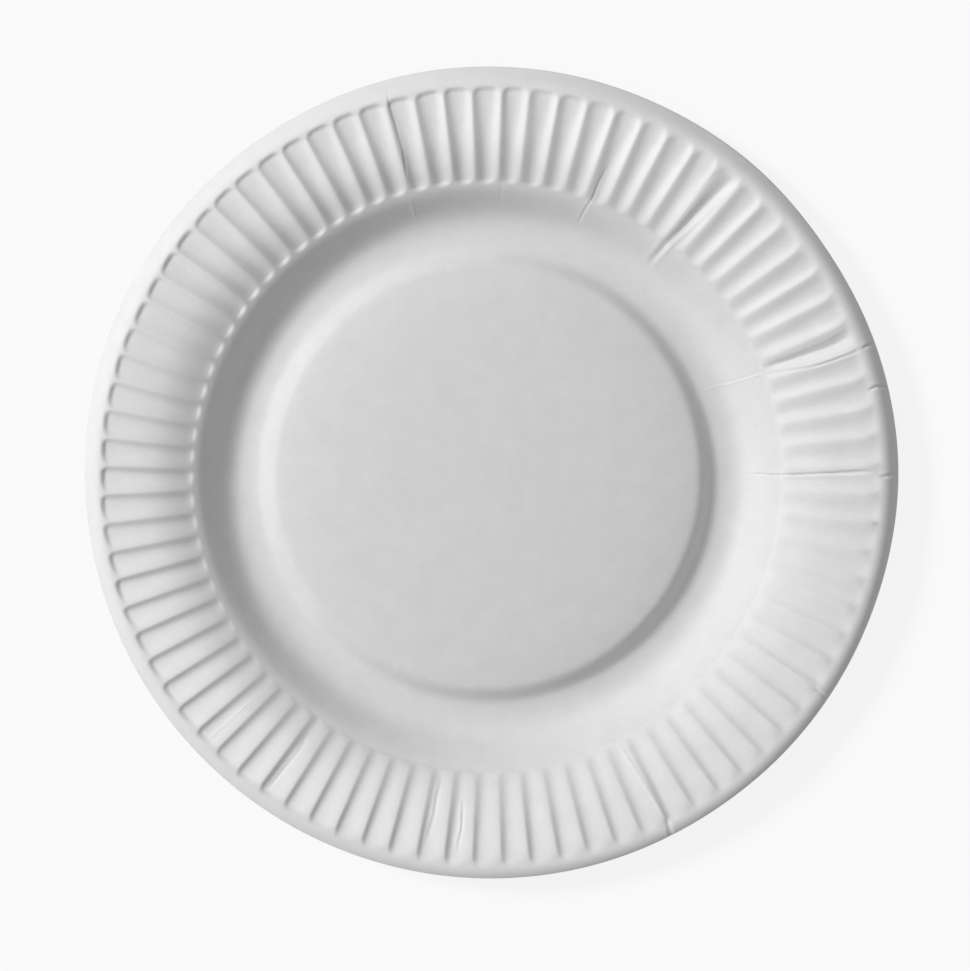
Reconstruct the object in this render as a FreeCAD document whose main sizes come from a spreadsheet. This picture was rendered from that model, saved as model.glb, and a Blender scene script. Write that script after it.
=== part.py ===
"""A pressed paperboard plate with a fluted rim: one sheet of board.

The board is pressed between two forms that close straight down, and is then trimmed to a circle a
little off the middle of the pressing. From the middle outwards it has a raised and crowned disc, a
step with a gentler foot, a flat channel that it stands on, a cove, a sloping wall, a zone of pressed
flutes that rises on a long arc to a level rim, and a lip. The outline and the lip set where the rim
lies, and all inner radii follow from it.
Every flute has a flat floor between two flanks, and a narrow ridge stands between two flutes.
Z = 0 is the table, and the Z axis runs through the middle of the trimmed outline.
"""

import FreeCAD, Part
import math
import os

NODE = "plate"

# Millimetres and degrees. Radii are measured from the middle of the pressing.
SIZES = {
    "plate_radius": 115.0,
    "pressing_offset_x": -1.2,
    "pressing_offset_y": -1.1,
    "board_thickness": 0.45,
    "lip_width": 5.4,
    "disc_height": 4.8,
    "disc_crown": 4.4,
    "step_width": 4.2,
    "foot_width": 2.6,
    "foot_height": 0.8,
    "channel_width": 2.6,
    "cove_radius": 9.4,
    "wall_angle": 44.0,
    "wall_rise": 5.1,
    "flute_count": 84,
    "flute_length": 28.8,
    "rim_arc_radius": 51.5,
    "rim_width": 4.6,
    "flute_depth": 1.2,
    "flute_depth_outside": 0.75,
    "flute_run_in": 3.2,
    "flute_run_out": 1.6,
    "ridge_width": 0.9,
    "flank_slope": 36.0,
    "lip_arc_radius": 6.6,
    "lip_angle": 48.0,
}

# Straight runs that stand for each rounded stretch of the section.
DISC_RUNS = 4
COVE_RUNS = 3
FLUTE_RUNS = 3
LIP_RUNS = 3

SAME_POINT = 1e-6


def make_sheet(doc):
    """The table of driving sizes, one alias to a cell."""
    sheet = doc.addObject("Spreadsheet::Sheet", "sizes")
    for row, (alias, value) in enumerate(SIZES.items(), start=1):
        sheet.set(f"A{row}", alias)
        sheet.set(f"B{row}", str(value))
        sheet.setAlias(f"B{row}", alias)
    doc.recompute()
    return sheet


class Section:
    """The top of the board along one radius, worked out from the table of sizes."""

    def __init__(self, sheet):
        for alias in SIZES:
            setattr(self, alias, float(sheet.get(alias)))
        self.flute_count = round(self.flute_count)
        self.pitch = 2 * math.pi / self.flute_count
        self.slope = math.radians(self.wall_angle)
        self.channel_top = self.board_thickness
        self.rim = self.plate_radius - self.lip_width
        self.wall_top = self.rim - self.flute_length
        self.wall_foot = self.wall_top - self.wall_rise / math.tan(self.slope)
        self.cove_start = self.wall_foot - self.cove_radius * math.sin(self.slope)
        self.channel_start = self.cove_start - self.channel_width
        self.step_foot = self.channel_start - self.foot_width
        self.disc_radius = self.step_foot - self.step_width
        self.wall_top_height = self.cove_height(self.slope) + self.wall_rise
        self.arc_middle = self.wall_top_height - self.arc_rise(self.wall_top)

    def cove_height(self, angle):
        return self.channel_top + self.cove_radius * (1 - math.cos(angle))

    def arc_rise(self, radius):
        """Height of the rim's long arc above its middle. The arc ends where the level rim starts."""
        across = max(self.rim - self.rim_width - radius, 0.0)
        return math.sqrt(self.rim_arc_radius**2 - across**2)

    def disc_rows(self):
        """Radius and height of the rows of the crowned disc, the step and its foot, outwards."""
        edge_height = self.channel_top + self.disc_height
        ball = (self.disc_radius**2 + self.disc_crown**2) / (2 * self.disc_crown)
        rows = []
        for run in range(1, DISC_RUNS + 1):
            radius = self.disc_radius * run / DISC_RUNS
            crown = math.sqrt(ball**2 - radius**2) - (ball - self.disc_crown)
            rows.append((radius, edge_height + crown))
        rows.append((self.step_foot, self.channel_top + self.foot_height))
        rows.append((self.channel_start, self.channel_top))
        return rows

    def cove_rows(self):
        """Radius and height of the cove's rows, from the channel's outer edge to the wall's foot."""
        rows = []
        for step in range(COVE_RUNS + 1):
            angle = self.slope * step / COVE_RUNS
            rows.append((self.cove_start + self.cove_radius * math.sin(angle), self.cove_height(angle)))
        return rows

    def flute_rows(self):
        """Radius, height of the ridge and depth of the floor below it, from the wall's top to the rim."""
        first = self.wall_top + self.flute_run_in
        last = self.rim - self.flute_run_out
        rows = [(self.wall_top, 0.0)]
        for step in range(FLUTE_RUNS + 1):
            share = step / FLUTE_RUNS
            depth = self.flute_depth + share * (self.flute_depth_outside - self.flute_depth)
            rows.append((first + share * (last - first), depth))
        rows.append((self.rim, 0.0))
        return [(radius, self.arc_middle + self.arc_rise(radius), depth) for radius, depth in rows]

    def trimmed_radius(self, azimuth):
        """From the middle of the pressing to the trimmed edge, which is a circle about Z."""
        along = -self.pressing_offset_x * math.cos(azimuth) - self.pressing_offset_y * math.sin(azimuth)
        offset = math.hypot(self.pressing_offset_x, self.pressing_offset_y)
        return along + math.sqrt(self.plate_radius**2 - offset**2 + along**2)

    def lip_height(self, radius):
        """The lip turns down on an arc and runs on straight from the arc's end."""
        turn = math.radians(self.lip_angle)
        top = self.arc_middle + self.rim_arc_radius
        across = radius - self.rim
        arc_width = self.lip_arc_radius * math.sin(turn)
        if across <= arc_width:
            return top - self.lip_arc_radius + math.sqrt(self.lip_arc_radius**2 - across**2)
        arc_drop = self.lip_arc_radius * (1 - math.cos(turn))
        return top - arc_drop - (across - arc_width) * math.tan(turn)


def place(radius, azimuth, height):
    return FreeCAD.Vector(radius * math.cos(azimuth), radius * math.sin(azimuth), height)


def ridge_corners(section, row, number):
    """The four top corners across ridge number at one row: floor, ridge, ridge, floor."""
    radius, height, depth = row
    middle = (number + 0.5) * section.pitch
    ridge = section.ridge_width / 2
    foot = ridge + depth / math.tan(math.radians(section.flank_slope))
    return [
        place(radius, middle - foot / radius, height - depth),
        place(radius, middle - ridge / radius, height),
        place(radius, middle + ridge / radius, height),
        place(radius, middle + foot / radius, height - depth),
    ]


def fluted_patches(section, number):
    """Top patches of one ridge with its two flanks and of the floor before it."""
    rows = section.flute_rows()
    patches = []
    for inner, outer in zip(rows, rows[1:]):
        near = ridge_corners(section, inner, number)
        far = ridge_corners(section, outer, number)
        for a, b in ((0, 1), (1, 2), (2, 3)):
            patches.append([near[a], near[b], far[b], far[a]])
        near_before = ridge_corners(section, inner, number - 1)[3]
        far_before = ridge_corners(section, outer, number - 1)[3]
        patches.append([near_before, near[0], far[0], far_before])
    return patches


def plain_patches(section, number):
    """Top patches of the disc, cove, wall and lip for one pitch, between two floors' middles."""
    first = number * section.pitch
    second = first + section.pitch
    patches = []
    for rows in (section.disc_rows(), section.cove_rows()):
        for (near, low), (far, high) in zip(rows, rows[1:]):
            patches.append(
                [place(near, first, low), place(near, second, low), place(far, second, high), place(far, first, high)]
            )
    lip = []
    for azimuth in (first, second):
        width = section.trimmed_radius(azimuth) - section.rim
        radii = [section.rim + width * run / LIP_RUNS for run in range(1, LIP_RUNS + 1)]
        lip.append([place(radius, azimuth, section.lip_height(radius)) for radius in radii])
    for run in range(LIP_RUNS - 1):
        patches.append([lip[0][run], lip[1][run], lip[1][run + 1], lip[0][run + 1]])
    foot_radius, foot_height = section.cove_rows()[-1]
    foot = [place(foot_radius, first, foot_height), place(foot_radius, second, foot_height)]
    flutes = section.flute_rows()
    for flute_row, ring in ((flutes[0], foot), (flutes[-1], [lip[0][0], lip[1][0]])):
        before = ridge_corners(section, flute_row, number - 1)
        ridge = ridge_corners(section, flute_row, number)
        patches.append([ridge[0], ridge[3], ring[1], ring[0]])
        patches.append([before[3], ridge[0], ring[0]])
    return patches, lip[0][-1], lip[1][-1]


def patch_faces(corners):
    """Flat faces on the corners: one where they lie in one plane, and two triangles where they don't."""
    kept = []
    for corner in corners:
        if not kept or (corner - kept[-1]).Length > SAME_POINT:
            kept.append(corner)
    if (kept[0] - kept[-1]).Length < SAME_POINT:
        kept.pop()
    outlines = [kept]
    if len(kept) == 4:
        normal = (kept[1] - kept[0]).cross(kept[3] - kept[0]).normalize()
        if abs(normal.dot(kept[2] - kept[0])) > SAME_POINT:
            if (kept[2] - kept[0]).Length > (kept[3] - kept[1]).Length:
                kept = kept[1:] + kept[:1]
            outlines = [[kept[0], kept[1], kept[2]], [kept[0], kept[2], kept[3]]]
    return [Part.Face(Part.makePolygon(outline + outline[:1])) for outline in outlines]


def ring_wire(section, radius, height):
    corners = [place(radius, number * section.pitch, height) for number in range(section.flute_count)]
    return Part.makePolygon(corners + corners[:1])


def pressed_board(section):
    """The whole board: its top, the same surface one thickness lower, and the trimmed edge."""
    down = FreeCAD.Vector(0, 0, -section.board_thickness)
    top = []
    edge = []
    for number in range(section.flute_count):
        plain, first, second = plain_patches(section, number)
        top += fluted_patches(section, number) + plain
        edge.append([first, second, second + down, first + down])
    faces = [face for patch in edge for face in patch_faces(patch)]
    for drop in (FreeCAD.Vector(), down):
        for patch in top:
            faces += patch_faces([corner + drop for corner in patch])
        middle_radius, middle_height = section.disc_rows()[0]
        channel_height = section.channel_top + drop.z
        faces.append(Part.Face(ring_wire(section, middle_radius, middle_height + drop.z)))
        outer = Part.Face(ring_wire(section, section.cove_start, channel_height))
        inner = Part.Face(ring_wire(section, section.channel_start, channel_height))
        faces.append(outer.cut(inner).Faces[0])
    shell = Part.makeShell(faces)
    if not shell.isClosed():
        raise RuntimeError("the board's skin is open")
    solid = Part.Solid(shell)
    if solid.Volume < 0:
        solid.reverse()
    return solid


def make_plate(doc, sheet):
    """The plate as one object, moved so that its trimmed outline is centred on Z."""
    plate = doc.addObject("Part::Feature", NODE)
    plate.Label = NODE
    plate.Shape = pressed_board(Section(sheet))
    plate.setExpression("Placement.Base.x", "sizes.pressing_offset_x")
    plate.setExpression("Placement.Base.y", "sizes.pressing_offset_y")
    return plate


def check(doc, parts):
    """Stop before anything is written if an object or a shape is not sound."""
    for item in doc.Objects:
        if "Invalid" in item.State or "Error" in item.State:
            raise RuntimeError(f"{item.Name} is {item.State}")
    for part in parts:
        if part.Shape.isNull() or not part.Shape.isValid() or len(part.Shape.Solids) != 1:
            raise RuntimeError(f"{part.Label} is not one sound solid")


def main():
    doc = FreeCAD.newDocument("paper_plate")
    sheet = make_sheet(doc)
    parts = [make_plate(doc, sheet)]
    doc.recompute()
    check(doc, parts)
    os.makedirs("parts", exist_ok=True)
    for part in parts:
        part.Shape.exportStep(f"parts/{part.Label}.step")
        print(part.Label, round(part.Shape.Volume, 1), part.Shape.BoundBox)


main()
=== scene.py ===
"""A pressed paperboard plate with a fluted rim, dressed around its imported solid.

Lengths are in metres. Radii and azimuths are taken about the middle of the pressing, and the trimmed
outline is taken about the Z axis.
"""

import math
from typing import NamedTuple

import bpy
import numpy as np
from bpy.props import FloatProperty, FloatVectorProperty, IntProperty, PointerProperty
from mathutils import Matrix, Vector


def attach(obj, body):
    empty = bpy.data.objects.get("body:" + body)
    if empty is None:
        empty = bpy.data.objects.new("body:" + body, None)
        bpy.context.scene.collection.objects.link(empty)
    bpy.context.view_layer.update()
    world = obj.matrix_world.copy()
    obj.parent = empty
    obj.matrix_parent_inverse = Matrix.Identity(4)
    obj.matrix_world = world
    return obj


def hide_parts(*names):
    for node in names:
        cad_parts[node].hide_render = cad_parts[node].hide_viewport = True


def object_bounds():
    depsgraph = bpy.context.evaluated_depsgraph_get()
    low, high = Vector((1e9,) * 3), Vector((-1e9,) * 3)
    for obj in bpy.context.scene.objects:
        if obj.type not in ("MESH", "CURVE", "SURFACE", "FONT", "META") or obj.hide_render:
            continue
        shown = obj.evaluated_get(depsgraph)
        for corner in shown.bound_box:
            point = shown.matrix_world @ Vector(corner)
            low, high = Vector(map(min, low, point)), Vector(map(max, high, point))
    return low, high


bl_info = {
    "name": "Paper plate",
    "version": (1, 0, 0),
    "blender": (4, 5, 0),
    "location": "View3D > Sidebar > Paper plate",
    "description": "Builds a pressed paperboard plate with a fluted rim, and a plain stage for it",
    "category": "Add Mesh",
}

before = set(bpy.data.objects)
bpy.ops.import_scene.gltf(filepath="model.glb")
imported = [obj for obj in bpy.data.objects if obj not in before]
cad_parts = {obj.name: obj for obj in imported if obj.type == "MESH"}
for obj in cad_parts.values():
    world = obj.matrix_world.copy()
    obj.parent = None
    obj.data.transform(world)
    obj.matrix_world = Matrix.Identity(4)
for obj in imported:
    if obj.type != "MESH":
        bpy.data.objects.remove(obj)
CAD_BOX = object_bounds()

MM = 0.001
# The outline's radius in millimetres: half of the solid's width, less room for its departures from a circle.
OUTLINE_ROOM = 0.645
OUTLINE_RADIUS = CAD_BOX[1][0] / MM - OUTLINE_ROOM


def length(name, description, millimetres):
    """A length that a user may set, given here in millimetres."""
    return FloatProperty(
        name=name, description=description, default=millimetres * MM, unit="LENGTH", precision=5
    )


def angle(name, description, degrees):
    """An angle that a user may set, given here in degrees."""
    return FloatProperty(name=name, description=description, default=math.radians(degrees), unit="ROTATION")


class PlateSizes(bpy.types.PropertyGroup):
    """Sizes of the board, from the middle of the pressing outwards"""

    outline_radius: length("Outline radius", "Radius of the trimmed outline", OUTLINE_RADIUS)
    pressing_x: length("Pressing X", "Middle of the pressing along X from the middle of the outline", -1.2)
    pressing_y: length("Pressing Y", "Middle of the pressing along Y from the middle of the outline", -1.1)
    board: length("Board thickness", "Thickness of the board, measured straight down", 0.45)
    bend: length("Bend", "How softly the board bends between its flat parts", 0.85)
    disc_radius: length("Disc radius", "Radius of the raised disc", 60.5)
    disc_height: length("Disc height", "Height of the disc's edge above the channel", 4.9)
    disc_crown: length("Disc crown", "Height of the disc's middle above its edge", 4.3)
    step_width: length("Step width", "Width of the steep step at the disc's edge", 3.3)
    foot_width: length("Foot width", "Width of the curve from the step down to the channel", 5.8)
    foot_height: length("Foot height", "Height of the curve from the step down to the channel", 0.9)
    cove_radius: length("Cove radius", "Radius of the bend from the channel up to the wall", 8.6)
    wall_angle: angle("Wall angle", "Slope of the wall", 48.0)
    wall_rise: length("Wall rise", "Height of the straight part of the wall", 5.3)
    flare_width: length("Flare width", "Width of the flare from the wall to the level rim", 24.2)
    flare_rise: length("Flare rise", "Height of the flare from the wall to the level rim", 5.35)
    rim_width: length("Rim width", "Width of the level rim", 4.6)
    rim_drift: length("Rim drift", "How far the rim's ring lies to one side", 1.55)
    lip_arc: length("Lip arc", "Radius of the lip's downward turn", 4.2)
    lip_angle: angle("Lip angle", "Slope at which the lip runs on to its edge", 51.0)
    lip_ripple: length("Lip ripple", "Height of the slow waves along the lip", 0.12)
    flute_count: IntProperty(name="Flutes", description="Number of flutes round the rim", default=84, min=8)
    flute_swing: angle("Flute swing", "How far the flutes lie aside where they lie aside most", 0.6)
    flute_inset: length("Flute inset", "From the wall's top to where the flutes start", 0.85)
    flute_overrun: length("Flute overrun", "How far the flutes run into the lip", 0.85)
    flute_depth: length("Flute depth", "Depth of a flute's floor below its ridges where it is deepest", 1.0)
    flute_run_in: length("Inner run", "Length of the slope into a flute beside the wall", 1.8)
    flute_run_out: length("Outer run", "Length of the slope out of a flute beside the lip", 1.3)
    flute_corner: length("Flute corner", "How much shorter a flute is beside its ridges", 1.2)


class PlateColours(bpy.types.PropertyGroup):
    """Colours of the board's three finishes and of the floor"""

    face: FloatVectorProperty(
        name="Face", description="Smooth upper face", default=(0.75, 0.75, 0.75), subtype="COLOR", size=3
    )
    back: FloatVectorProperty(
        name="Back", description="Rougher underside", default=(0.70, 0.695, 0.68), subtype="COLOR", size=3
    )
    edge: FloatVectorProperty(
        name="Edge", description="Fibres of the cut edge", default=(0.66, 0.65, 0.62), subtype="COLOR", size=3
    )
    floor: FloatVectorProperty(
        name="Floor", description="Plain floor", default=(0.8, 0.8, 0.8), subtype="COLOR", size=3
    )


# The crown's fall from its middle to the disc's edge: shares of its height, each with the power it follows.
CROWN_FALL = ((0.7, 2), (0.3, 7))

# The flare's slope against the share of its width: it stays steep beside the wall and is soon almost level.
FLARE_SLOPES = ((0, 1.0), (0.08, 0.97), (0.3, 0.74), (0.62, 0.19), (0.8, 0.06), (1, 0))
FLARE_SHARES = np.linspace(0, 1, 201)
FLARE_HEIGHTS = np.cumsum(np.interp(FLARE_SHARES, *zip(*FLARE_SLOPES)))
FLARE_HEIGHTS = (FLARE_HEIGHTS - FLARE_HEIGHTS[0]) / (FLARE_HEIGHTS[-1] - FLARE_HEIGHTS[0])

# The azimuth at which the rim's ring lies outwards most, and the one at which the flutes lie aside most.
DRIFT_AZIMUTH = math.radians(-18)
SWING_AZIMUTH = math.radians(175)

# Slow waves round the lip: how many to a turn, their phase, and their height as a share of the first ones'.
LIP_WAVES = ((5, 0.7, 1.0), (11, 2.0, 1.0), (23, 4.0, 0.7))
LIP_WAVES_RUN_IN = 8 * MM

# How uneven the pressing is, as standard deviations: the ridges' places as a share of the pitch, their
# heights as a share of the whole, and the places where the flutes start and end.
SEED = 84
RIDGE_SHIFT = 0.012
RIDGE_UNEVENNESS = 0.07
START_SHIFT = 0.12 * MM
END_SHIFT = 0.15 * MM


class Pressing:
    """The board's upper surface as a height over the azimuth and the radius."""

    # The section is worked out at these steps up to this radius, and a bend reaches this many times its size.
    STEP = 0.1 * MM
    REACH = 125 * MM
    BEND_REACH = 4

    def __init__(self, sizes):
        self.sizes = sizes
        self.pitch = 2 * math.pi / sizes.flute_count
        self.channel_top = sizes.board
        self.step_foot = sizes.disc_radius + sizes.step_width
        self.cove_start = self.step_foot + sizes.foot_width
        self.wall_foot = self.cove_start + sizes.cove_radius * math.sin(sizes.wall_angle)
        self.wall_foot_height = self.channel_top + sizes.cove_radius * (1 - math.cos(sizes.wall_angle))
        self.wall_top = self.wall_foot + sizes.wall_rise / math.tan(sizes.wall_angle)
        self.wall_top_height = self.wall_foot_height + sizes.wall_rise
        self.flare_end = self.wall_top + sizes.flare_width
        self.lip_start = self.flare_end + sizes.rim_width
        self.flute_start = self.wall_top + sizes.flute_inset
        self.flute_end = self.lip_start + sizes.flute_overrun
        self.radii = np.arange(0, self.REACH, self.STEP)
        self.profile = self.softened(self.sharp_profile(self.radii))
        self.creases = [Crease(*crease) for crease in CREASES]
        jitter = np.random.default_rng(SEED)
        self.ridge_shift = jitter.normal(0, RIDGE_SHIFT, sizes.flute_count)
        self.ridge_strength = 1 + jitter.normal(0, RIDGE_UNEVENNESS, sizes.flute_count)
        self.start_shift = jitter.normal(0, START_SHIFT, sizes.flute_count)
        self.end_shift = jitter.normal(0, END_SHIFT, sizes.flute_count)

    def sharp_profile(self, radius):
        """The section with its corners still sharp: disc, step, foot, cove, wall, flare, rim and lip."""
        sizes = self.sizes
        share = np.clip(radius / sizes.disc_radius, 0, 1)
        crown = sizes.disc_crown * (1 - sum(part * share**power for part, power in CROWN_FALL))
        down = np.clip((radius - sizes.disc_radius) / sizes.step_width, 0, 1)
        foot = np.clip((self.cove_start - radius) / sizes.foot_width, 0, 1) ** 2
        height = self.channel_top + crown + (sizes.disc_height - sizes.foot_height) * (1 - down)
        height = height + sizes.foot_height * foot
        across = np.clip(radius - self.cove_start, 0, self.wall_foot - self.cove_start)
        cove = sizes.cove_radius - np.sqrt(sizes.cove_radius**2 - across**2)
        height = np.where(radius > self.cove_start, self.channel_top + cove, height)
        wall = self.wall_foot_height + (radius - self.wall_foot) * math.tan(sizes.wall_angle)
        height = np.where(radius > self.wall_foot, wall, height)
        share = np.clip((radius - self.wall_top) / sizes.flare_width, 0, 1)
        flare = self.wall_top_height + sizes.flare_rise * np.interp(share, FLARE_SHARES, FLARE_HEIGHTS)
        height = np.where(radius > self.wall_top, flare, height)
        return height - self.lip_drop(radius)

    def lip_drop(self, radius):
        """How far the lip lies below the level rim at a radius."""
        sizes = self.sizes
        across = np.clip(radius - self.lip_start, 0, None)
        arc_width = sizes.lip_arc * math.sin(sizes.lip_angle)
        on_arc = np.clip(across, 0, arc_width)
        arc_drop = sizes.lip_arc - np.sqrt(sizes.lip_arc**2 - on_arc**2)
        return arc_drop + (across - on_arc) * math.tan(sizes.lip_angle)

    def softened(self, height):
        """The section with its corners rounded, as board bends."""
        half = int(self.BEND_REACH * self.sizes.bend / self.STEP)
        offsets = np.arange(-half, half + 1) * self.STEP
        weight = np.exp(-0.5 * (offsets / self.sizes.bend) ** 2)
        padded = np.pad(height, half, mode="reflect")
        return np.convolve(padded, weight / weight.sum(), mode="valid")

    def height(self, azimuth, radius):
        """The pressed surface's height, with its flutes, its lip's waves and its creases."""
        ring = radius - self.drift(azimuth) * self.outwards(radius)
        height = np.interp(ring, self.radii, self.profile)
        height = height - self.flute_drop(azimuth, ring)
        waves = sum(share * np.sin(count * azimuth + phase) for count, phase, share in LIP_WAVES)
        on_lip = smooth_step((ring - self.flare_end) / LIP_WAVES_RUN_IN)
        height = height - self.sizes.lip_ripple * (1 + waves / 2) * on_lip
        for crease in self.creases:
            height = height + crease.height(azimuth, radius)
        return height

    def outwards(self, radius):
        """0 inside the flare and 1 outside it."""
        return smooth_step((radius - self.wall_top) / self.sizes.flare_width)

    def drift(self, azimuth):
        """How far the rim's ring lies outwards at an azimuth."""
        return self.sizes.rim_drift * np.cos(azimuth - DRIFT_AZIMUTH)

    def swing(self, azimuth):
        """How far the flutes lie aside at an azimuth."""
        return self.sizes.flute_swing * np.cos(azimuth - SWING_AZIMUTH)

    def ridge_azimuth(self, number):
        """Where a ridge lies. The first one follows the last one."""
        azimuth = (number + 0.5) * self.pitch
        return azimuth + self.swing(azimuth) + self.ridge_shift[number % self.sizes.flute_count] * self.pitch

    def ridges_beside(self, azimuth):
        """The ridge before an azimuth, the one after it, and the share of the way from one to the other."""
        place = (azimuth - self.swing(azimuth)) / self.pitch - 0.5
        number = np.floor(place).astype(int)
        count = self.sizes.flute_count
        return number % count, (number + 1) % count, place - number

    def uneven(self, values, azimuth):
        """What has a value of its own at each ridge and passes smoothly from one to the next."""
        before, after, share = self.ridges_beside(azimuth)
        blend = smooth_step(share)
        return (1 - blend) * values[before] + blend * values[after]

    def along_flute(self, radius):
        """0 where the flutes start and 1 where they end."""
        return (radius - self.flute_start) / (self.flute_end - self.flute_start)

    def ridge(self, azimuth, radius):
        """The ridges' height as a share of the whole: 1 on a crest and 0 on a flute's floor."""
        before, after, share = self.ridges_beside(azimuth)
        after_width, before_width = flute_shape(azimuth)[1:]
        width = np.interp(self.along_flute(radius), (0, 1), WIDTH_CHANGE)
        from_ridge = (share - self.ridge_shift[before]) * self.pitch * radius
        to_ridge = (1 - share + self.ridge_shift[after]) * self.pitch * radius
        behind = ridge_side(from_ridge, after_width * width)
        ahead = ridge_side(to_ridge, before_width * width)
        return (behind + ahead) / (1 + behind * ahead)

    def flute_drop(self, azimuth, radius):
        """How far the surface lies below the ridges' own surface."""
        sizes = self.sizes
        ridge = self.ridge(azimuth, radius)
        low = smooth_step(0.5 - LOW_SPREAD * np.cos(azimuth - RAISED_AZIMUTH))
        start = self.flute_start + self.uneven(self.start_shift, azimuth) + sizes.flute_corner * ridge
        end = self.flute_end + self.uneven(self.end_shift, azimuth) - sizes.flute_corner * ridge
        run_out = sizes.flute_run_out * (1 + LONGER_FADE * low)
        inside = smooth_step((radius - start) / sizes.flute_run_in) * smooth_step((end - radius) / run_out)
        over_wall = smooth_step((radius - self.wall_foot) / (self.flute_start - self.wall_foot))
        drop = (1 - ridge) * inside + LOW_SHARE * low * over_wall * (1 - inside)
        depth = flute_shape(azimuth)[0] * np.interp(self.along_flute(radius), (0, 1), DEPTH_CHANGE)
        return sizes.flute_depth * depth * self.uneven(self.ridge_strength, azimuth) * drop


# How the flutes change round the rim: azimuth in degrees, the depth as a share of the size given for it, and
# the widths in millimetres of a ridge's sides towards greater and towards smaller azimuths.
FLUTE_SHAPES = (
    (10, 0.85, 0.95, 1.7),
    (39, 0.92, 0.95, 1.5),
    (60, 0.95, 1.0, 1.35),
    (98, 1.05, 1.0, 1.0),
    (130, 1.05, 1.0, 0.95),
    (168, 1.0, 0.85, 1.5),
    (202, 1.15, 0.72, 2.3),
    (247, 1.0, 0.72, 2.6),
    (282, 0.95, 0.78, 2.7),
    (310, 0.85, 0.76, 2.7),
    (345, 0.75, 0.95, 2.2),
)
# What the depths and the widths are multiplied by where the flutes start and where they end.
DEPTH_CHANGE = (1.9, 0.92)
WIDTH_CHANGE = (1.75, 0.8)
# How sharply a ridge's sides turn from its crest: 2 is a bell, and less is a narrower crest.
RIDGE_POWER = 1.8
# Where the plain board beside the flutes lies as high as their ridges. Opposite, it lies lower by a share of
# the flutes' depth, and the ridges take longer to fade into it by a share of the outer run. The more the
# spread is over a half, the wider both sides are.
RAISED_AZIMUTH = math.radians(150)
LOW_SPREAD = 0.7
LOW_SHARE = 0.55
LONGER_FADE = 1.5


def flute_shape(azimuth):
    """The flutes' depth and the widths of their ridges' two sides at an azimuth."""
    azimuths, *columns = zip(*FLUTE_SHAPES)
    turned = np.degrees(azimuth)
    depth, after, before = [np.interp(turned, azimuths, values, period=360) for values in columns]
    return depth, after * MM, before * MM


def ridge_side(distance, width):
    """A ridge's height at a distance from its crest, as a share of its whole height."""
    return np.exp(-0.5 * np.abs(distance / width) ** RIDGE_POWER)


def smooth_step(share):
    """From 0 to 1 with level ends, as its argument goes from 0 to 1."""
    share = np.clip(share, 0, 1)
    return share * share * (3 - 2 * share)


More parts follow.
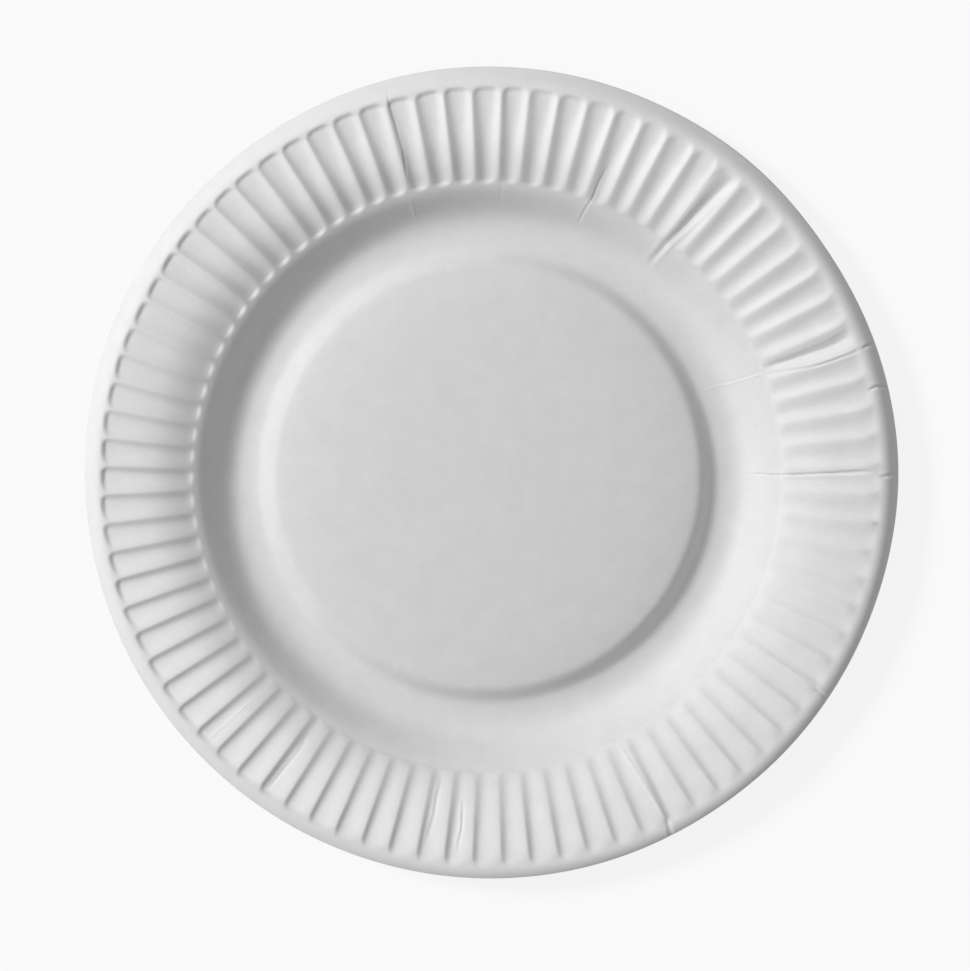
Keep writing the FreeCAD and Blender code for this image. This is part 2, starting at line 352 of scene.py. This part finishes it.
# The board's creases. Each has its path as azimuth in degrees and radius in millimetres, outwards, then
# its cross section as offset towards greater azimuths and height in millimetres, and then the section's
# width at the path's inner end as a share of its width at the outer end.
GROOVE = ((-0.4, 0), (0, -0.2), (0.4, 0))
FAINT = ((-0.3, 0), (0, -0.1), (0.3, 0))
CRACK = ((-1.0, 0), (-0.3, -0.45), (0.3, 0.1), (1.6, 0))
SLIT = ((-1.4, 0), (-0.55, -0.75), (0.3, 0.1), (1.4, 0))
CREASES = (
    # The slit at the right, and its end in the lip.
    (((0.75, 73), (0.35, 82.5), (0.6, 92.7), (1.0, 109)), SLIT, 0.3),
    (((0.0, 110.2), (0.2, 113), (0.7, 116.5)), CRACK, 1.0),
    # The loose pleat above it: its dark fold with a bright side, its lower edge, its tail down the wall, its
    # end in the lip, and a smaller crack in the lip below it.
    (
        ((20.4, 83.5), (19.5, 90), (18.7, 102), (18.9, 110.5)),
        ((-0.6, 0), (0, 0.06), (1.5, 0.15), (4.3, -0.85), (6.8, 0.05), (9, 0.15), (11, 0)),
        0.4,
    ),
    (
        ((20.4, 84), (19.4, 90), (18.75, 97), (18.7, 102), (18.95, 112)),
        ((-1.3, 0), (-0.5, -0.35), (0.1, 0.1), (1.6, 0.05), (3, 0)),
        0.6,
    ),
    (((22.0, 66), (20.8, 74), (20.3, 84)), ((-0.5, 0), (-0.1, 0.12), (0.5, -0.08), (1.1, 0)), 0.8),
    (((18.9, 111), (19.1, 114), (19.3, 116.5)), CRACK, 1.0),
    (((12.7, 109.5), (13.1, 112.6), (12.5, 116.5)), CRACK, 1.0),
    # The loose pleat at the upper right.
    (
        ((52.6, 74.5), (52.2, 84), (51.7, 88), (51.2, 97), (50.3, 110)),
        ((-3.4, 0), (-2.4, 0.15), (0, -0.7), (2.4, 0.05), (3.6, 0.1), (4.8, 0)),
        0.5,
    ),
    # The small crease beside it, and a faint one at the top.
    (
        ((70.4, 75.5), (69.7, 81.4), (69.2, 84), (69.2, 89), (68.6, 94)),
        ((-0.7, 0), (-0.2, -0.2), (0.4, 0.05), (1.1, 0)),
        1.0,
    ),
    (((87.2, 77), (87.0, 84.5)), FAINT, 1.0),
    # The crease down a flute just left of the top, with its tail on the wall.
    (
        ((105.2, 86.4), (104.55, 95), (104.7, 101), (104.8, 109), (104.6, 112.5)),
        ((-0.8, 0), (-0.3, -0.3), (0.2, 0.08), (0.9, 0)),
        0.7,
    ),
    (((105.4, 75.5), (105.4, 81.5)), ((-0.5, 0), (0, 0.12), (0.5, 0)), 1.0),
    # Faint lines at the left and the lower left.
    (((179.0, 78.5), (179.2, 84)), FAINT, 1.0),
    (((223.6, 90), (223.4, 109)), ((-0.4, 0), (0, 0.12), (0.5, 0)), 1.0),
    (((235.0, 88), (235.8, 93), (235.4, 99), (235.1, 108)), GROOVE, 1.0),
    # Two crumpled flutes at the bottom.
    (
        ((261.4, 86), (260.9, 91), (261.0, 96), (260.4, 104)),
        ((-1.1, 0), (-0.3, 0.12), (0.5, -0.12), (1.1, 0)),
        1.0,
    ),
    (
        ((265.6, 92), (265.9, 99), (265.3, 105.5)),
        ((-0.9, 0), (-0.3, 0.15), (0.25, -0.2), (0.9, 0)),
        1.0,
    ),
    # The crease at the lower right that cuts through the lip.
    (
        ((296.1, 83.8), (296.9, 92.8), (297.3, 101), (297.6, 109)),
        ((-0.8, 0), (0, 0.2), (0.5, 0)),
        0.8,
    ),
    (((297.8, 108), (297.3, 112), (296.8, 116.5)), ((-0.9, 0.05), (0.1, -0.4), (1.4, 0)), 1.0),
    # The faint fork at the lower right, and two cracks in the lip.
    (((326.0, 95), (327.3, 110.5)), FAINT, 1.0),
    (((328.2, 92), (327.3, 110.5)), FAINT, 1.0),
    (((327.3, 109.5), (327.0, 116.5)), CRACK, 1.0),
    (((353.3, 109.5), (352.3, 116.5)), CRACK, 1.0),
)
# A crease fades in and out over this length and this share of its whole length.
CREASE_END = 0.8 * MM
CREASE_END_SHARE = 0.12


class Crease:
    """A crease along a path. Its section may be narrower and lower inwards, and it fades at both ends."""

    def __init__(self, path, section, inner_width):
        azimuths, radii = zip(*path)
        offsets, heights = zip(*section)
        self.azimuths = np.radians(azimuths)
        self.radii = np.array(radii) * MM
        self.offsets = np.array(offsets) * MM
        self.heights = np.array(heights) * MM
        self.inner_width = inner_width

    def reach(self):
        """Azimuths that the crease spans."""
        low = self.azimuths.min() + self.offsets[0] / self.radii[0]
        high = self.azimuths.max() + self.offsets[-1] / self.radii[0]
        return low, high

    def height(self, azimuth, radius):
        """What the crease adds to the surface's height."""
        middle = np.interp(radius, self.radii, self.azimuths)
        along = np.clip((radius - self.radii[0]) / (self.radii[-1] - self.radii[0]), 0, 1)
        width = self.inner_width + (1 - self.inner_width) * along
        turn = np.angle(np.exp(1j * (azimuth - middle)))
        end = CREASE_END + CREASE_END_SHARE * (self.radii[-1] - self.radii[0])
        taper = smooth_step((radius - self.radii[0]) / end) * smooth_step((self.radii[-1] - radius) / end)
        return np.interp(turn * radius / width, self.offsets, self.heights) * taper * np.sqrt(width)


# Departures of the outline from a circle: azimuth and half width in degrees, height in millimetres.
OUTLINE_BUMPS = ((0, 13, 0.56), (35, 13, -0.75), (62, 12, -0.3), (100, 14, 0.25), (305, 13, -0.28))


def outline_radius(sizes, azimuth):
    """From the middle of the pressing to the trimmed edge, which is a near circle about Z."""
    along = -sizes.pressing_x * np.cos(azimuth) - sizes.pressing_y * np.sin(azimuth)
    offset = math.hypot(sizes.pressing_x, sizes.pressing_y)
    radius = np.full_like(azimuth, sizes.outline_radius)
    for middle, half_width, rise in OUTLINE_BUMPS:
        away = (np.degrees(azimuth) - middle + 180) % 360 - 180
        radius += rise * MM * np.exp(-((away / half_width) ** 2))
    return along + np.sqrt(radius**2 - offset**2 + along**2)


# Places of the mesh columns within a pitch, from a ridge at 0 to the next at 1: on the face, on the back, and
# on the rows of the disc.
FACE_COLUMNS = (0, 0.04, 0.09, 0.15, 0.23, 0.34, 0.5, 0.64, 0.76, 0.86, 0.925, 0.965)
BACK_COLUMNS = (0, 0.09, 0.23, 0.5, 0.76, 0.925)
PLAIN_COLUMNS = (0, 0.5)
# The columns added across a crease: their spacing, the number of them to each one that the back has, and how
# near to another column one is left out, as a share of the spacing.
CREASE_COLUMN = math.radians(0.2)
CREASE_BACK_COLUMN = 3
CREASE_COLUMN_NEAR = 0.35


class Columns:
    """Azimuths of the mesh columns, with the places in that list that each kind of row uses."""

    def __init__(self, pressing):
        marks = {}
        for number in range(pressing.sizes.flute_count):
            ridge = pressing.ridge_azimuth(number)
            after = pressing.ridge_azimuth(number + 1)
            for place in FACE_COLUMNS:
                azimuth = (ridge + place * (after - ridge)) % (2 * math.pi)
                marks[azimuth] = (place in BACK_COLUMNS, place in PLAIN_COLUMNS)
        for crease in pressing.creases:
            low, high = crease.reach()
            for step in range(int((high - low) / CREASE_COLUMN) + 2):
                azimuth = (low + step * CREASE_COLUMN) % (2 * math.pi)
                near = min(abs(azimuth - mark) for mark in marks)
                if near > CREASE_COLUMN_NEAR * CREASE_COLUMN:
                    marks[azimuth] = (step % CREASE_BACK_COLUMN == 0, False)
        self.azimuths = np.array(sorted(marks))
        kinds = [marks[azimuth] for azimuth in self.azimuths]
        self.face = list(range(len(kinds)))
        self.back = [place for place, kind in enumerate(kinds) if kind[0] or kind[1]]
        self.plain = [place for place, kind in enumerate(kinds) if kind[1]]


# The rows of the mesh on the disc: from one share of its radius to another, in a number of steps.
DISC_ROWS = ((0.15, 0.75, 4), (0.82, 0.96, 3))
# The rows on the step at its edge: how far inside and outside it they start and end, and their number.
STEP_INSIDE = 1.2 * MM
STEP_OUTSIDE = 1.0 * MM
STEP_ROWS = 8
# The rows from there to the lip: how far outside the step the first one lies, how far before and after the
# flutes' two ends the spacing changes, and the rows across the channel and the cove, the wall, the inner ends
# of the flutes, the flutes and their outer ends. The back has a share of their number, and no fewer than two.
FIRST_OUTSIDE = 1.8 * MM
INNER_ENDS = (0.5 * MM, 2.4 * MM)
OUTER_ENDS = (3.0 * MM, 1.0 * MM)
FLUTED_ROWS = (7, 5, 8, 15, 8)
FEWEST_ROWS = 2
FACE_FINENESS = 1.0
BACK_FINENESS = 0.5
LIP_ROWS = 6


def spaced(start, end, steps):
    """Radii from one to another, both included, in equal steps."""
    return list(np.linspace(start, end, steps + 1))


def plain_radii(pressing):
    """Radii of the rows with few columns: the disc and the step at its edge."""
    disc = pressing.sizes.disc_radius
    rows = []
    for start, end, steps in DISC_ROWS:
        rows += spaced(start * disc, end * disc, steps)
    return rows + spaced(disc - STEP_INSIDE, pressing.step_foot + STEP_OUTSIDE, STEP_ROWS)


def fluted_radii(pressing, fineness):
    """Radii of the rows with many columns, from the channel to the start of the lip."""
    marks = (
        pressing.step_foot + FIRST_OUTSIDE,
        pressing.wall_foot,
        pressing.flute_start - INNER_ENDS[0],
        pressing.flute_start + INNER_ENDS[1],
        pressing.flute_end - OUTER_ENDS[0],
        pressing.flute_end + OUTER_ENDS[1],
    )
    rows = [marks[0]]
    for start, end, steps in zip(marks, marks[1:], FLUTED_ROWS):
        rows += spaced(start, end, max(FEWEST_ROWS, round(steps * fineness)))[1:]
    return rows


class Skin:
    """Vertices and faces of one skin, row by row outwards from the middle."""

    def __init__(self, pressing, columns, used, fineness):
        points = [np.array([[0, 0, pressing.profile[0]]])]
        self.rows = []
        count = 1
        for places, radii in self.plan(pressing, columns, used, fineness):
            azimuth = columns.azimuths[places]
            radius = radii[places]
            height = pressing.height(azimuth, radius)
            points.append(np.column_stack([radius * np.cos(azimuth), radius * np.sin(azimuth), height]))
            self.rows.append((count, {place: k for k, place in enumerate(places)}))
            count += len(places)
        self.points = np.concatenate(points)
        self.points[:, 0] += pressing.sizes.pressing_x
        self.points[:, 1] += pressing.sizes.pressing_y

    def plan(self, pressing, columns, used, fineness):
        """Each row's columns, and the radii that it has at every azimuth."""
        drift = pressing.drift(columns.azimuths)
        outline = outline_radius(pressing.sizes, columns.azimuths)
        rows = [(columns.plain, np.full_like(outline, radius)) for radius in plain_radii(pressing)]
        fluted = fluted_radii(pressing, fineness)
        rows += [(used, radius + drift * pressing.outwards(radius)) for radius in fluted]
        last = fluted[-1] + drift
        rows += [(used, last + (outline - last) * step / LIP_ROWS) for step in range(1, LIP_ROWS)]
        return rows + [(columns.face, outline)]

    def faces(self):
        """Every face as a list of its vertices: a fan round the middle, then a band between each two rows."""
        first, places = self.rows[0]
        faces = [[0, first + k, first + (k + 1) % len(places)] for k in range(len(places))]
        for near, far in zip(self.rows, self.rows[1:]):
            faces += self.band(near, far)
        return faces

    def band(self, near, far):
        """Faces between two rows, one to each pair of columns that both rows have."""
        shared = [place for place in near[1] if place in far[1]]
        faces = []
        for place, after in zip(shared, shared[1:] + shared[:1]):
            faces.append(self.between(far, place, after) + self.between(near, place, after)[::-1])
        return faces

    def between(self, row, place, after):
        """Vertices of a row from one column to another, both included."""
        first, places = row
        end = places[after] + (len(places) if after < place else 0)
        return [first + k % len(places) for k in range(places[place], end + 1)]

    def last_row(self):
        """Vertices along the trimmed edge."""
        first, places = self.rows[-1]
        return list(range(first, first + len(places)))


# The order of the board's finishes.
FACE, BACK, EDGE = range(3)
# How far the cut edge bulges, as a share of the board's thickness, and the angle at which edges stay sharp.
EDGE_BULGE = 0.12
SHARP_ANGLE = math.radians(60)


def board_mesh(sizes):
    """Both skins of the board and the rounded cut edge between them, as one closed mesh."""
    pressing = Pressing(sizes)
    columns = Columns(pressing)
    face = Skin(pressing, columns, columns.face, FACE_FINENESS)
    back = Skin(pressing, columns, columns.back, BACK_FINENESS)
    back.points[:, 2] -= sizes.board
    upper = face.last_row()
    count = len(face.points)
    lower = [count + vertex for vertex in back.last_row()]
    middle = 0.5 * (face.points[upper] + back.points[back.last_row()])
    outward = middle[:, :2] / np.linalg.norm(middle[:, :2], axis=1)[:, None]
    middle[:, :2] += EDGE_BULGE * sizes.board * outward
    points = np.concatenate([face.points, back.points, middle])
    first_middle = count + len(back.points)
    face_faces = face.faces()
    back_faces = [[count + vertex for vertex in reversed(corners)] for corners in back.faces()]
    edge_faces = []
    for k in range(len(upper)):
        after = (k + 1) % len(upper)
        edge_faces.append([upper[k], first_middle + k, first_middle + after, upper[after]])
        edge_faces.append([first_middle + k, lower[k], lower[after], first_middle + after])
    mesh = bpy.data.meshes.new("plate_board")
    mesh.from_pydata(points.tolist(), [], face_faces + back_faces + edge_faces)
    kinds = [FACE] * len(face_faces) + [BACK] * len(back_faces) + [EDGE] * len(edge_faces)
    mesh.polygons.foreach_set("material_index", kinds)
    mesh.polygons.foreach_set("use_smooth", [True] * len(kinds))
    if mesh.validate():
        raise RuntimeError("the board's mesh had faces that don't hold")
    mesh.set_sharp_from_angle(angle=SHARP_ANGLE)
    return mesh


class Finish(NamedTuple):
    """How one side of the board looks. The scales are those of its noises, to the metre."""

    cloud_scale: float
    fibre_scale: float
    contrast: float
    relief: float
    roughness: float
    sheen: float


SMOOTH_FACE = Finish(
    cloud_scale=160, fibre_scale=1500, contrast=0.045, relief=0.02 * MM, roughness=0.6, sheen=0.35
)
PLAIN_BACK = Finish(
    cloud_scale=220, fibre_scale=1100, contrast=0.05, relief=0.05 * MM, roughness=0.85, sheen=0.2
)
CUT_EDGE = Finish(
    cloud_scale=600, fibre_scale=4000, contrast=0.1, relief=0.06 * MM, roughness=0.9, sheen=0.1
)
# The fibre's share of the tint, the noise values between which the tint changes, and the bump's strength.
FIBRE_SHARE = 0.45
TINT_RANGE = (0.3, 0.7)
BUMP_STRENGTH = 0.5
# A colour Mix node has sockets of the same name for each kind of value, so its colour ones go by number.
MIX_COLOURS = (6, 7)
MIXED_COLOUR = 2


def new_node(tree, kind, **inputs):
    """A node of a kind, with the sockets named by the keywords set. An underscore stands for a space."""
    node = tree.nodes.new(kind)
    for name, value in inputs.items():
        node.inputs[name.replace("_", " ")].default_value = value
    return node


def math_node(tree, kind, operation):
    """A Math or Vector Math node that does one operation."""
    node = tree.nodes.new(kind)
    node.operation = operation
    return node


def fibre_group():
    """Paper fibre: a cloudy tint and a fine felted height, at the noise scales given."""
    group = bpy.data.node_groups.new("paper_fibre", "ShaderNodeTree")
    sockets = group.interface
    for name, scale in (("Cloud Scale", SMOOTH_FACE.cloud_scale), ("Fibre Scale", SMOOTH_FACE.fibre_scale)):
        sockets.new_socket(name, in_out="INPUT", socket_type="NodeSocketFloat").default_value = scale
    for name in ("Tint", "Height"):
        sockets.new_socket(name, in_out="OUTPUT", socket_type="NodeSocketFloat")
    source = group.nodes.new("NodeGroupInput")
    sink = group.nodes.new("NodeGroupOutput")
    place = group.nodes.new("ShaderNodeTexCoord")
    cloud = new_node(group, "ShaderNodeTexNoise", Detail=4.0, Roughness=0.6)
    fibre = new_node(group, "ShaderNodeTexNoise", Detail=3.0, Roughness=0.65, Distortion=0.6)
    pair = new_node(group, "ShaderNodeMix", Factor=FIBRE_SHARE)
    links = group.links
    links.new(place.outputs["Object"], cloud.inputs["Vector"])
    links.new(place.outputs["Object"], fibre.inputs["Vector"])
    links.new(source.outputs["Cloud Scale"], cloud.inputs["Scale"])
    links.new(source.outputs["Fibre Scale"], fibre.inputs["Scale"])
    links.new(cloud.outputs["Fac"], pair.inputs["A"])
    links.new(fibre.outputs["Fac"], pair.inputs["B"])
    links.new(pair.outputs["Result"], sink.inputs["Tint"])
    links.new(fibre.outputs["Fac"], sink.inputs["Height"])
    return group


# Painted light: how much lighter the face's colour is at a radius in millimetres, standing in for the
# brighter light on the fluted rim than in the shaded bowl, and the radius at the end of the curve.
RIM_PAINTED_LIGHT = ((84, 0.0), (96, 0.09), (103, 0.11), (108, 0.1), (113, 0.06))
RIM_PAINTED_LIGHT_REACH = 125 * MM


def rim_painted_light_group():
    """A factor for the colour that paints light on the rim, from the distance to the pressing's middle."""
    group = bpy.data.node_groups.new("rim_painted_light", "ShaderNodeTree")
    group.interface.new_socket("Middle", in_out="INPUT", socket_type="NodeSocketVector")
    group.interface.new_socket("Factor", in_out="OUTPUT", socket_type="NodeSocketFloat")
    source = group.nodes.new("NodeGroupInput")
    sink = group.nodes.new("NodeGroupOutput")
    place = group.nodes.new("ShaderNodeTexCoord")
    away = math_node(group, "ShaderNodeVectorMath", "SUBTRACT")
    level = math_node(group, "ShaderNodeVectorMath", "MULTIPLY")
    level.inputs[1].default_value = (1, 1, 0)
    radius = math_node(group, "ShaderNodeVectorMath", "LENGTH")
    share = math_node(group, "ShaderNodeMath", "DIVIDE")
    share.inputs[1].default_value = RIM_PAINTED_LIGHT_REACH
    factor = math_node(group, "ShaderNodeMath", "ADD")
    factor.inputs[1].default_value = 1.0
    curve = group.nodes.new("ShaderNodeFloatCurve")
    points = curve.mapping.curves[0].points
    points[0].location = (0, 0)
    points[1].location = (1, RIM_PAINTED_LIGHT[-1][1])
    for distance, lighter in RIM_PAINTED_LIGHT:
        points.new(distance * MM / RIM_PAINTED_LIGHT_REACH, lighter)
    for point in points:
        point.handle_type = "VECTOR"
    curve.mapping.update()
    links = group.links
    links.new(place.outputs["Object"], away.inputs[0])
    links.new(source.outputs["Middle"], away.inputs[1])
    links.new(away.outputs["Vector"], level.inputs[0])
    links.new(level.outputs["Vector"], radius.inputs[0])
    links.new(radius.outputs["Value"], share.inputs[0])
    links.new(share.outputs["Value"], curve.inputs["Value"])
    links.new(curve.outputs["Value"], factor.inputs[0])
    links.new(factor.outputs["Value"], sink.inputs["Factor"])
    return group


def paint_rim_light(material, middle):
    """Paint light onto the rim by lightening a material's colour towards it."""
    tree = material.node_tree
    shader = tree.nodes["Principled BSDF"]
    tint = shader.inputs["Base Color"].links[0].from_socket
    rim = tree.nodes.new("ShaderNodeGroup")
    rim.node_tree = rim_painted_light_group()
    rim.inputs["Middle"].default_value = middle
    scaled = math_node(tree, "ShaderNodeVectorMath", "SCALE")
    tree.links.new(tint, scaled.inputs[0])
    tree.links.new(rim.outputs["Factor"], scaled.inputs["Scale"])
    tree.links.new(scaled.outputs["Vector"], shader.inputs["Base Color"])


def paper_material(name, colour, group, finish):
    """Board of one colour, mottled by the fibre group and roughened by its height."""
    material = bpy.data.materials.new(name)
    material.use_nodes = True
    tree = material.node_tree
    shader = tree.nodes["Principled BSDF"]
    shader.inputs["Roughness"].default_value = finish.roughness
    shader.inputs["Specular IOR Level"].default_value = finish.sheen
    paper = tree.nodes.new("ShaderNodeGroup")
    paper.node_tree = group
    paper.inputs["Cloud Scale"].default_value = finish.cloud_scale
    paper.inputs["Fibre Scale"].default_value = finish.fibre_scale
    ramp = new_node(tree, "ShaderNodeMapRange", From_Min=TINT_RANGE[0], From_Max=TINT_RANGE[1])
    tint = tree.nodes.new("ShaderNodeMix")
    tint.data_type = "RGBA"
    for socket, change in zip(MIX_COLOURS, (-finish.contrast, finish.contrast)):
        tint.inputs[socket].default_value = [min(1.0, channel * (1 + change)) for channel in colour] + [1]
    bump = new_node(tree, "ShaderNodeBump", Strength=BUMP_STRENGTH, Distance=finish.relief)
    links = tree.links
    links.new(paper.outputs["Tint"], ramp.inputs["Value"])
    links.new(ramp.outputs["Result"], tint.inputs[0])
    links.new(tint.outputs[MIXED_COLOUR], shader.inputs["Base Color"])
    links.new(paper.outputs["Height"], bump.inputs["Height"])
    links.new(bump.outputs["Normal"], shader.inputs["Normal"])
    return material


class PLATE_OT_board(bpy.types.Operator):
    """Build the pressed board with its flutes, creases and three finishes"""

    bl_idname = "paper_plate.board"
    bl_label = "Pressed board"

    def execute(self, context):
        sizes = context.scene.plate_sizes
        colours = context.scene.plate_colours
        mesh = board_mesh(sizes)
        group = fibre_group()
        face = paper_material("smooth_face", colours.face, group, SMOOTH_FACE)
        # Painted light: the face's colour is made lighter towards the rim.
        paint_rim_light(face, (sizes.pressing_x, sizes.pressing_y, 0))
        mesh.materials.append(face)
        mesh.materials.append(paper_material("plain_back", colours.back, group, PLAIN_BACK))
        mesh.materials.append(paper_material("cut_edge", colours.edge, group, CUT_EDGE))
        board = bpy.data.objects.new("pressed_board", mesh)
        context.scene.collection.objects.link(board)
        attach(board, "root")
        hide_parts("plate")
        return {"FINISHED"}


class StageSizes(bpy.types.PropertyGroup):
    """Where the camera stands and how the light falls"""

    pixel: length("Pixel", "Width of one pixel of the picture at the rim's height", 0.2815)
    lens: FloatProperty(name="Lens", description="Focal length in millimetres", default=200.0)
    key_azimuth: angle("Key azimuth", "Where the key light comes from, from +X towards +Y", 158.0)
    key_height: angle("Key height", "Height of the key light above the floor", 40.0)
    key_strength: FloatProperty(name="Key strength", description="Light of the key lamp", default=2.5)
    key_softness: angle("Key softness", "Angle that the key lamp covers", 14.0)
    fill: FloatProperty(name="Fill", description="Light from all round", default=0.29)


# The picture's size and the place of the outline's middle in it, in pixels from the upper left.
PICTURE = (970, 971)
OUTLINE_MIDDLE = (490.9, 472.2)
# The sensor's width in millimetres, how far the camera sees, and the height at which a pixel has its width.
SENSOR = 36.0
SIGHT = 10.0
RIM_HEIGHT = 12.5 * MM


def make_camera(scene, stage):
    """Straight down on the plate, with the outline's middle where the picture has it."""
    data = bpy.data.cameras.new("overhead_camera")
    data.lens = stage.lens
    data.sensor_fit = "HORIZONTAL"
    data.sensor_width = SENSOR
    data.clip_end = SIGHT
    camera = bpy.data.objects.new("overhead_camera", data)
    distance = PICTURE[0] * stage.pixel * stage.lens / SENSOR
    right = (PICTURE[0] / 2 - OUTLINE_MIDDLE[0]) * stage.pixel
    up = (OUTLINE_MIDDLE[1] - PICTURE[1] / 2) * stage.pixel
    camera.location = (right, up, RIM_HEIGHT + distance)
    scene.collection.objects.link(camera)
    scene.camera = camera


def make_key(scene, stage):
    """One large soft lamp from the upper left."""
    data = bpy.data.lights.new("key_lamp", "SUN")
    data.energy = stage.key_strength
    data.angle = stage.key_softness
    lamp = bpy.data.objects.new("key_lamp", data)
    lamp.rotation_euler = (0, math.radians(90) - stage.key_height, stage.key_azimuth)
    scene.collection.objects.link(lamp)


WHITE = (1, 1, 1, 1)


def make_world(scene, stage):
    """Even light from all round, and plain white where the camera sees past the floor."""
    world = bpy.data.worlds.new("studio")
    world.use_nodes = True
    tree = world.node_tree
    fill = tree.nodes["Background"]
    fill.inputs["Color"].default_value = WHITE
    fill.inputs["Strength"].default_value = stage.fill
    white = new_node(tree, "ShaderNodeBackground", Color=WHITE, Strength=1.0)
    path = tree.nodes.new("ShaderNodeLightPath")
    mix = tree.nodes.new("ShaderNodeMixShader")
    links = tree.links
    links.new(path.outputs["Is Camera Ray"], mix.inputs[0])
    links.new(fill.outputs[0], mix.inputs[1])
    links.new(white.outputs[0], mix.inputs[2])
    links.new(mix.outputs[0], tree.nodes["World Output"].inputs["Surface"])
    scene.world = world


# How much of the floor's own shading the camera sees under its white, half the floor's width, its drop below
# the plate and its roughness.
FLOOR_SHADE = 0.13
FLOOR_HALF = 1.5
FLOOR_DROP = 0.05 * MM
FLOOR_ROUGHNESS = 0.9


def make_floor(scene, colours):
    """A pale floor that shows almost white to the camera and keeps the plate's shadow."""
    mesh = bpy.data.meshes.new("floor")
    corners = [(x * FLOOR_HALF, y * FLOOR_HALF, -FLOOR_DROP) for x, y in ((-1, -1), (1, -1), (1, 1), (-1, 1))]
    mesh.from_pydata(corners, [], [[0, 1, 2, 3]])
    material = bpy.data.materials.new("floor_white")
    material.use_nodes = True
    tree = material.node_tree
    shader = tree.nodes["Principled BSDF"]
    shader.inputs["Base Color"].default_value = (*colours.floor, 1)
    shader.inputs["Roughness"].default_value = FLOOR_ROUGHNESS
    glow = new_node(tree, "ShaderNodeEmission", Color=WHITE, Strength=1.0)
    shown = tree.nodes.new("ShaderNodeMixShader")
    shown.inputs[0].default_value = FLOOR_SHADE
    path = tree.nodes.new("ShaderNodeLightPath")
    choice = tree.nodes.new("ShaderNodeMixShader")
    links = tree.links
    links.new(glow.outputs[0], shown.inputs[1])
    links.new(shader.outputs[0], shown.inputs[2])
    links.new(path.outputs["Is Camera Ray"], choice.inputs[0])
    links.new(shader.outputs[0], choice.inputs[1])
    links.new(shown.outputs[0], choice.inputs[2])
    links.new(choice.outputs[0], tree.nodes["Material Output"].inputs["Surface"])
    mesh.materials.append(material)
    floor = bpy.data.objects.new("floor", mesh)
    scene.collection.objects.link(floor)


class PLATE_OT_stage(bpy.types.Operator):
    """Set up the floor, the light and the camera"""

    bl_idname = "paper_plate.stage"
    bl_label = "Stage"

    def execute(self, context):
        scene = context.scene
        make_floor(scene, scene.plate_colours)
        make_world(scene, scene.plate_stage)
        make_key(scene, scene.plate_stage)
        make_camera(scene, scene.plate_stage)
        scene.view_settings.view_transform = "Standard"
        return {"FINISHED"}


class PLATE_PT_panel(bpy.types.Panel):
    """Sizes, colours and the two steps of the paper plate"""

    bl_label = "Paper plate"
    bl_space_type = "VIEW_3D"
    bl_region_type = "UI"
    bl_category = "Paper plate"

    def draw(self, context):
        scene = context.scene
        for group in (scene.plate_sizes, scene.plate_colours, scene.plate_stage):
            box = self.layout.box()
            for name in group.bl_rna.properties.keys():
                if name not in ("name", "rna_type"):
                    box.prop(group, name)
        self.layout.operator(PLATE_OT_board.bl_idname)
        self.layout.operator(PLATE_OT_stage.bl_idname)


CLASSES = (PlateSizes, PlateColours, StageSizes, PLATE_OT_board, PLATE_OT_stage, PLATE_PT_panel)


def register():
    """Add the classes, and the scene's three groups of properties."""
    for cls in CLASSES:
        bpy.utils.register_class(cls)
    bpy.types.Scene.plate_sizes = PointerProperty(type=PlateSizes)
    bpy.types.Scene.plate_colours = PointerProperty(type=PlateColours)
    bpy.types.Scene.plate_stage = PointerProperty(type=StageSizes)


def unregister():
    """Take away what register added."""
    del bpy.types.Scene.plate_stage
    del bpy.types.Scene.plate_colours
    del bpy.types.Scene.plate_sizes
    for cls in reversed(CLASSES):
        bpy.utils.unregister_class(cls)


def main():
    """Build the plate and its stage."""
    register()
    bpy.ops.paper_plate.board()
    bpy.ops.paper_plate.stage()


if __name__ == "__main__":
    main()
